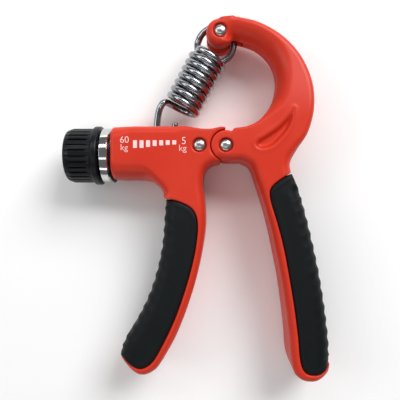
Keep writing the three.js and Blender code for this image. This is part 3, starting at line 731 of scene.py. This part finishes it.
def right_shell():
    g = Grid((-10.2, -101, -1), (46, 57, 27), STEP)
    edge = g.flat(right_outline(np.array(RIGHT_OUTER, float)))
    half = PLASTIC_HALF + (HOOK_TIP_HALF - PLASTIC_HALF) * smoothstep(g.y, 12, 48)
    upper_line, lower_line = spline(GROOVE_UPPER), spline(GROOVE_LOWER)
    groove = g.flat(np.vstack([upper_line, lower_line]))
    dent = 1.9 * smoothstep(-groove, -0.2, 1.5)
    rim = 0.18 * np.exp(-((groove - 0.9) / 0.7) ** 2)
    face = np.where(g.z > MID, g.z - MID - half + dent - rim, MID - g.z - half)
    # the hook's inner flank: a big roll that meets the face in a crease with a thin bead
    inner = g.flat(spline(HOOK_INNER), False)
    grow = smoothstep(g.y, 7, 20)
    swell = smoothstep(g.y, 24, 44)
    radius = 1.5 + 6.6 * grow + 1.2 * swell
    lift = 0.1 + 0.5 * grow - 0.25 * swell
    crease = radius - np.sqrt(radius ** 2 - (radius - lift) ** 2)
    bead = 0.16 * grow * (1 - 0.6 * swell) * np.exp(-((inner - crease - 0.45) / 0.42) ** 2)
    f = np.maximum(rolled(edge, face - bead, 0.7), rolled(-inner, face - lift, radius))
    outer_radius = 2.6 + 2.0 * smoothstep(-g.y, -6, 6)
    knuckle_under = arc((0, 0), KNUCKLE_R, -90, -112, 4)
    under = np.vstack([spline(RIGHT_OUTER[-2:] + RIGHT_END + RIGHT_INNER), knuckle_under])
    end_radius = 3.4 + 2.4 * smoothstep(g.x, 36, 42)
    sides = ((spline(HOOK_OUTER), outer_radius), (arc(TIP_CENTRE, TIP_R, -30, -262, 24), 3.2),
             (under, end_radius))
    for line, radius in sides:
        f = np.maximum(f, rolled(-g.flat(line, False), face, radius))
    area = np.maximum(grip_area(g, RIGHT_GRIP_EDGE, -GAP / 2, RIGHT_FAR), -g.x)
    f = cut(f, area + 0 * g.z, 0.6)
    f = np.minimum(f, core_field(g, *RIGHT_CORE, 0))
    link = LINK_HALF + GAP
    depth = slab(g.z, MID - link, MID + link)
    f = cut(f, np.maximum(g.circle((0, 0), LINK_R + GAP + 0.2), depth), 0.4)
    f = cut(f, np.maximum(np.maximum(g.x - LINK_SWEEP, g.y), depth), 0.4)
    f = cut(f, np.maximum(g.x, depth), 0.4)
    tip = slab(g.z, MID - TIP_SLOT_HALF, MID + TIP_SLOT_HALF)
    f = cut(f, np.maximum(g.circle(TIP_PIN, TIP_SLOT_R), tip), 0.6)
    f = rivet_holes(f, g, (0, 0), PLASTIC_HALF)
    f = rivet_holes(f, g, TIP_PIN, HOOK_TIP_HALF)
    return moulded("right_shell", f, g, PLASTIC, "right_side", ["right_handle"], "body_plastic")


def grip(name, low, high, outline, outer_line, area_edge, far, core, body, node):
    g = Grid(low, high, STEP)
    edge = g.flat(outline)
    area = grip_area(g, area_edge, GAP / 2, far)
    inset = -area
    # the faces crown towards the middle, with a thin raised border along the seam
    crown = 0.55 * smoothstep(inset, 0, 9) + 0.16 * np.exp(-((inset - 1.6) / 0.55) ** 2)
    face = np.abs(g.z - MID) - (GRIP_HALF - 0.62 + crown)
    f = rolled(edge, face, 2.4)
    f = np.maximum(f, rolled(-g.flat(outer_line, False), face, 5.6))
    f = rolled(area + 0 * g.z, f, 0.6)
    f = cut(f, core_field(g, *core, GAP), 0.3)
    return moulded(name, f, g, RUBBER, body, [node], "grip_rubber")


left_bump = scalloped(offset(LEFT_OUTER, -RIDGE_HEIGHT), RIDGES, RIDGE_HEIGHT)
right_bump = scalloped(offset(RIGHT_OUTER, -RIDGE_HEIGHT), RIDGES, RIDGE_HEIGHT)
left_shell()
right_shell()
grip("left_rubber", (-47, -97, -1), (-10, -21, 27), left_outline(left_bump), left_bump, LEFT_GRIP_EDGE,
     LEFT_FAR, LEFT_CORE, "left_side", "left_grip")
grip("right_rubber", (17, -100, -1), (46, -10, 27), right_outline(right_bump), right_bump, RIGHT_GRIP_EDGE,
     RIGHT_FAR, RIGHT_CORE, "right_side", "right_grip")


# ---------- rivets ----------
def rivet(name, pin, half, body, node):
    seat = MID + half - RECESS_DEPTH + 0.05
    tail = MID - half + RECESS_DEPTH - 0.05
    dome = [(seat + RIVET_DOME * math.sin(a), RIVET_HEAD_R * math.cos(a), 0)
            for a in np.linspace(0, math.pi / 2, 14)]
    shank = RIVET_SHANK_R
    profile = [(tail - 0.9, 0), (tail - 0.9, shank + 0.3, 0.3), (tail - 0.5, shank + 0.5, 0.2),
               (tail, shank + 0.5, 0.1), (tail, shank, 0.05), (seat, shank, 0.05)]
    upright(name, pin, profile + dome, RIVET_PLATE, body, [node], "chrome")
    top = MID - half + RECESS_DEPTH + WASHER_THICK - 0.05
    bottom = top - WASHER_THICK + 0.1
    inner = RIVET_SHANK_R + 0.15
    ring = [(bottom, inner), (bottom, WASHER_R, 0.15), (top, WASHER_R, 0.1), (top, inner, 0.05),
            (bottom, inner)]
    upright(name + "_washer", pin, ring, STEEL, body, [node + "_washer"], "steel")


rivet("rivet_link", LINK_PIN, PLASTIC_HALF, "left_side", "link_rivet")
rivet("rivet_pivot", (0, 0), PLASTIC_HALF, "hinge_pin", "pivot_rivet")
rivet("rivet_spring", TIP_PIN, HOOK_TIP_HALF, "right_side", "spring_rivet")
PIN_HALF = EAR_HALF - 0.1
upright("foot_pin_turned", FOOT, [(MID - PIN_HALF, 0), (MID - PIN_HALF, FOOT_PIN_R, 0.35),
                                  (MID + PIN_HALF, FOOT_PIN_R, 0.35), (MID + PIN_HALF, 0)],
        STEEL, "foot_pin", ["carriage_pin"], "steel")


# ---------- knob, collar and gasket ----------
def ribbed(x, r, angle):
    """Rounded ribs with narrow grooves between them, fading out before the nose and at the plain band."""
    phase = angle * KNOB_RIBS / (2 * np.pi) % 1
    groove = smoothstep(np.abs(phase - 0.5), 0.3, 0.44)
    run = smoothstep(x, KNOB_LEFT + 0.6, KNOB_LEFT + 1.6) * (1 - smoothstep(x, *KNOB_RIB_FADE))
    outside = r > CAP_R + 1.5
    return r - KNOB_RIB_DEPTH * groove * run * outside


def knob():
    left, right = KNOB_LEFT, KNOB_RIGHT
    bottom = left + CAP_THICK + 0.3
    profile = [(bottom, CAP_R + 0.2), (left, CAP_R + 0.2, 0.15), (left, KNOB_R - 0.9, 0.9),
               (left + 2.6, KNOB_R, 1.6)]
    profile += [(x, KNOB_R, 0) for x in np.arange(left + 3.4, KNOB_RIB_END, 0.7)]
    flange = KNOB_FLANGE_LEFT
    bore, socket = SCREW_R + GAP, SCREW_HEAD[1] + GAP
    profile += [(KNOB_RIB_END, KNOB_R, 0), (flange, KNOB_R, 0.3), (flange + 0.5, KNOB_FLANGE_R, 0.5),
                (right, KNOB_FLANGE_R, 0.7), (right, bore, 0.1), (socket, bore, 0.1),
                (socket, KNOB_SOCKET_R, 0.1), (bottom, KNOB_SOCKET_R, 0.1), (bottom, CAP_R + 0.2)]
    turned("knob_turned", profile, KNOB_BLACK, "adjuster", ["knob"], "knob_plastic", segments=KNOB_RIBS * 16,
           radius_at=ribbed)
    cap = [(left + 0.3, 0), (left + 0.3, CAP_R - 1.6, 0.5), (left + 0.75, CAP_R - 0.9, 0.3),
           (left + 0.45, CAP_R - 0.4, 0.2), (left + 0.9, CAP_R, 0.3), (left + 0.2 + CAP_THICK, CAP_R, 0.1),
           (left + 0.2 + CAP_THICK, 0)]
    turned("knob_cap_turned", cap, KNOB_BLACK, "adjuster", ["knob_end_cap"], "knob_plastic")


def collar():
    left, right, r = COLLAR
    bore = SCREW_R + GAP
    profile = [(SPIGOT_RIGHT, bore), (left + 0.5, bore, 0.1), (left + 0.5, r - 1, 0.1),
               (left, r - 0.55, 0.15), (left + 0.3, r, 0.2), (right - 0.75, r, 0.12),
               (right - 0.1, r - 0.6, 0.12), (right, SPIGOT_R, 0.2), (SPIGOT_RIGHT, SPIGOT_R, 0.3),
               (SPIGOT_RIGHT, bore)]
    turned("collar_turned", profile, CHROME, "left_side", ["barrel_collar"], "chrome", segments=144)
    left, right, r = GASKET
    middle = (left + right) / 2
    ring = [(left, SPIGOT_R + GAP), (left, r - 0.25, 0.2), (left + 0.25, r, 0.2), (middle - 0.12, r, 0.05),
            (middle, r - 0.18, 0.05), (middle + 0.12, r, 0.05), (right - 0.25, r, 0.2),
            (right, r - 0.25, 0.2), (right, SPIGOT_R + GAP, 0.1), (left, SPIGOT_R + GAP)]
    turned("gasket_turned", ring, KNOB_BLACK, "left_side", ["collar_gasket"], "knob_plastic", segments=144)


knob()
collar()

# ---------- spring ----------
ALONG = np.subtract(TIP_PIN, FOOT) / np.linalg.norm(np.subtract(TIP_PIN, FOOT))
ACROSS = np.array([ALONG[1], -ALONG[0]])


def on_spring(along, across, height):
    x, y = np.array(FOOT) + ALONG * along + ACROSS * across
    return (x, y, MID + height)


def coil_point(turns):
    a = math.pi + turns * 2 * math.pi
    return on_spring(COIL_START + turns * COIL_PITCH, COIL_R * math.cos(a), COIL_R * math.sin(a))


def centripetal(points, spacing):
    """A centripetal Catmull-Rom line through points in space, cut into about equal steps."""
    p = np.array(points, float)
    q = np.vstack([2 * p[:1] - p[1:2], p, 2 * p[-1:] - p[-2:-1]])
    out = []
    for p0, p1, p2, p3 in zip(q[:-3], q[1:-2], q[2:-1], q[3:]):
        d = [max(np.linalg.norm(b - a), 1e-6) ** 0.5 for a, b in ((p0, p1), (p1, p2), (p2, p3))]
        v1 = ((p1 - p0) / d[0] - (p2 - p0) / (d[0] + d[1]) + (p2 - p1) / d[1]) * d[1]
        v2 = ((p2 - p1) / d[1] - (p3 - p1) / (d[1] + d[2]) + (p3 - p2) / d[2]) * d[1]
        t = (np.arange(12) / 12)[:, None]
        out.append((2 * p1 - 2 * p2 + v1 + v2) * t ** 3 + (3 * p2 - 3 * p1 - 2 * v1 - v2) * t ** 2
                   + v1 * t + p1)
    line = np.vstack(out + [p[-1:]])
    run = np.concatenate([[0], np.cumsum(np.linalg.norm(np.diff(line, axis=0), axis=1))])
    at = np.linspace(0, run[-1], int(run[-1] / spacing))
    return np.column_stack([np.interp(at, run, line[:, k]) for k in range(3)])


def spring():
    points = [(FOOT[0] + HOOK_BEND_R, FOOT[1] + 5.3, MID)]
    for a in np.radians(np.linspace(0, -180, 9)):
        points.append((FOOT[0] + HOOK_BEND_R * math.cos(a), FOOT[1] + HOOK_BEND_R * math.sin(a), MID))
    points += [(FOOT[0] - HOOK_BEND_R - 0.2, FOOT[1] + 5, MID), on_spring(9.4, -8.3, 0),
               on_spring(12.6, -7.9, 0.4)]
    points += [coil_point(t) for t in np.linspace(0.12, COIL_TURNS - 0.4, 150)]
    end = COIL_START + COIL_TURNS * COIL_PITCH
    points += [on_spring(end - 0.5, -6.1, -3.2), on_spring(end + 1.4, -7.4, -0.8)]
    centre = np.array(TIP_PIN) + ALONG * (RIVET_SHANK_R + GAP + 0.1 + WIRE_R - LOOP_R)
    along = (centre - FOOT) @ ALONG
    for a in np.radians(190 - 21 * np.arange(13)):
        points.append(on_spring(along + LOOP_R * math.sin(a), LOOP_R * math.cos(a), 0))
    path = centripetal(points, 0.45)
    wire, faces = swept(path, WIRE_R, 24)
    piece = make("spring_wire", wire, faces, SPRING_STEEL, None, (), "spring_steel")
    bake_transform(piece)
    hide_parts("spring_lower", "spring_upper")


spring()

# ---------- print on the barrel ----------
PRINT_Z = MID + PLASTIC_HALF + 0.05
BAR_DEPTH = 0.3
FIRST_BAR = -38.4
BAR_PITCH = 2.7
BAR_TOP = 1.83
BAR_BOTTOM = -1.35
BAR_CORNER_R = 0.2
BAR_RIGHT_CORNER = 1.45
BAR_SHORTER_BY = (0.0, 0.0, 0.4, 0.8, 1.05, 1.24, 1.44)


def print_bar(index):
    """One bar of the strength scale: a thin rounded pad; the bars get shorter towards the hinge."""
    x = FIRST_BAR + BAR_PITCH * index
    left, right = x + BAR_CORNER_R, x + BAR_RIGHT_CORNER
    top = BAR_TOP - BAR_CORNER_R
    bottom = BAR_BOTTOM + BAR_SHORTER_BY[index] + BAR_CORNER_R
    outline = []
    for cx, cy, start in ((right, top, 0), (left, top, 90), (left, bottom, 180), (right, bottom, 270)):
        for a in np.radians(start + np.array((0, 22.5, 45, 67.5, 90))):
            outline.append((cx + BAR_CORNER_R * math.cos(a), cy + BAR_CORNER_R * math.sin(a)))
    count = len(outline)
    points = [(px, py, z) for z in (PRINT_Z - BAR_DEPTH, PRINT_Z) for px, py in outline]
    sides = [[i, (i + 1) % count, count + (i + 1) % count, count + i] for i in range(count)]
    front = [[count + i, count + i + 1, 2 * count - 2 - i, 2 * count - 1 - i] for i in range(count // 2 - 1)]
    back = [[v - count for v in face[::-1]] for face in front]
    return points, sides + front + back


def scale_bars():
    points, faces = [], []
    for i in range(len(BAR_SHORTER_BY)):
        p, f = print_bar(i)
        faces += [[len(points) + v for v in face] for face in f]
        points += p
    make("scale_bars", points, faces, INK, "left_side", (), "body_plastic", False)


def scale_text(name, words, x, y, size):
    """A scale number or unit, as a thin raised print."""
    data = bpy.data.curves.new(name, "FONT")
    data.body = words
    data.size = size * MM
    data.extrude = 0.00012
    data.resolution_u = 6
    data.offset = -0.00003
    source = bpy.data.objects.new(name + "_source", data)
    bpy.context.scene.collection.objects.link(source)
    bpy.context.view_layer.update()
    mesh = bpy.data.meshes.new_from_object(source.evaluated_get(bpy.context.evaluated_depsgraph_get()))
    bpy.data.objects.remove(source)
    mesh.name = name
    mesh.transform(Matrix.Translation(Vector((np.array((x, y, PRINT_Z)) + HINGE) * MM)))
    mesh.materials.clear()
    mesh.materials.append(INK)
    piece = bpy.data.objects.new(name, mesh)
    bpy.context.scene.collection.objects.link(piece)
    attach(piece, "left_side")


scale_bars()
scale_text("scale_high", "60", -43.9, 0.75, 3.9)
scale_text("scale_high_unit", "kg", -43.7, -2.3, 3.6)
scale_text("scale_low", "5", -18.5, 0.2, 4.3)
scale_text("scale_low_unit", "kg", -19.6, -2.6, 3.7)

# ---------- CAD nodes that stay, with their finish ----------
for node, material in (("hinge_link", STEEL), ("adjusting_screw", STEEL), ("thrust_washer", STEEL),
                       ("screw_lock_nut", STEEL), ("carriage", KNOB_BLACK)):
    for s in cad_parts[node].material_slots:
        s.material = material

# ---------- floor, light and camera ----------
FLOOR_HALF = 3.0
FLOOR_Z = -0.0003  # just under the grips' back faces
floor_points = [(x * FLOOR_HALF, y * FLOOR_HALF, FLOOR_Z) for x, y in ((-1, -1), (1, -1), (1, 1), (-1, 1))]
floor_mesh = bpy.data.meshes.new("floor")
floor_mesh.from_pydata(floor_points, [], [(0, 1, 2, 3)])
floor_mesh.materials.append(floor_paint())
floor = bpy.data.objects.new("floor", floor_mesh)
bpy.context.scene.collection.objects.link(floor)

world = bpy.data.worlds.new("studio")
bpy.context.scene.world = world
world.use_nodes = True
background = world.node_tree.nodes["Background"]
background.inputs["Color"].default_value = (1, 1, 1, 1)
background.inputs["Strength"].default_value = 0.16
bpy.context.scene.view_settings.view_transform = "Standard"


def lamp(name, place, width, depth, power):
    """A soft box that faces the object; its width lies along X."""
    data = bpy.data.lights.new(name, "AREA")
    data.shape = "RECTANGLE"
    data.size = width
    data.size_y = depth
    data.energy = power
    piece = bpy.data.objects.new(name, data)
    piece.location = place
    aim = (Vector((0, 0, 0.01)) - Vector(place)).normalized()
    across = Vector((1, 0, 0))
    across = (across - aim * across.dot(aim)).normalized()
    turn = Matrix((across, across.cross(aim), -aim)).transposed()
    piece.rotation_euler = turn.to_euler()
    bpy.context.scene.collection.objects.link(piece)


lamp("key", (0.58, 0.72, 0.75), 0.6, 0.6, 12)
lamp("strip_top", (-0.15, 0.56, 0.74), 1.0, 0.16, 2.2)
lamp("strip_front", (-0.15, -0.24, 0.90), 1.0, 0.08, 0.9)
lamp("strip_near", (-0.15, -0.80, 0.45), 1.0, 0.12, 1.0)
lamp("strip_back", (-0.15, 0.90, 0.10), 1.0, 0.14, 0.8)
lamp("fill", (-0.75, 0.15, 0.6), 0.4, 0.5, 1.8)

CAMERA_DISTANCE = 205
CAMERA_PLACE = (-3.32, -22.84)
VIEW_WIDTH = 176
FRAME_SHIFT = -0.045
SENSOR_WIDTH = 36
camera_data = bpy.data.cameras.new("camera")
camera_data.sensor_width = SENSOR_WIDTH
camera_data.lens = SENSOR_WIDTH * CAMERA_DISTANCE / VIEW_WIDTH
camera_data.shift_x = FRAME_SHIFT
camera_data.clip_start = 0.01
camera = bpy.data.objects.new("camera", camera_data)
camera.location = (HINGE + (*CAMERA_PLACE, MID + CAMERA_DISTANCE)) * MM
bpy.context.scene.collection.objects.link(camera)
bpy.context.scene.camera = camera
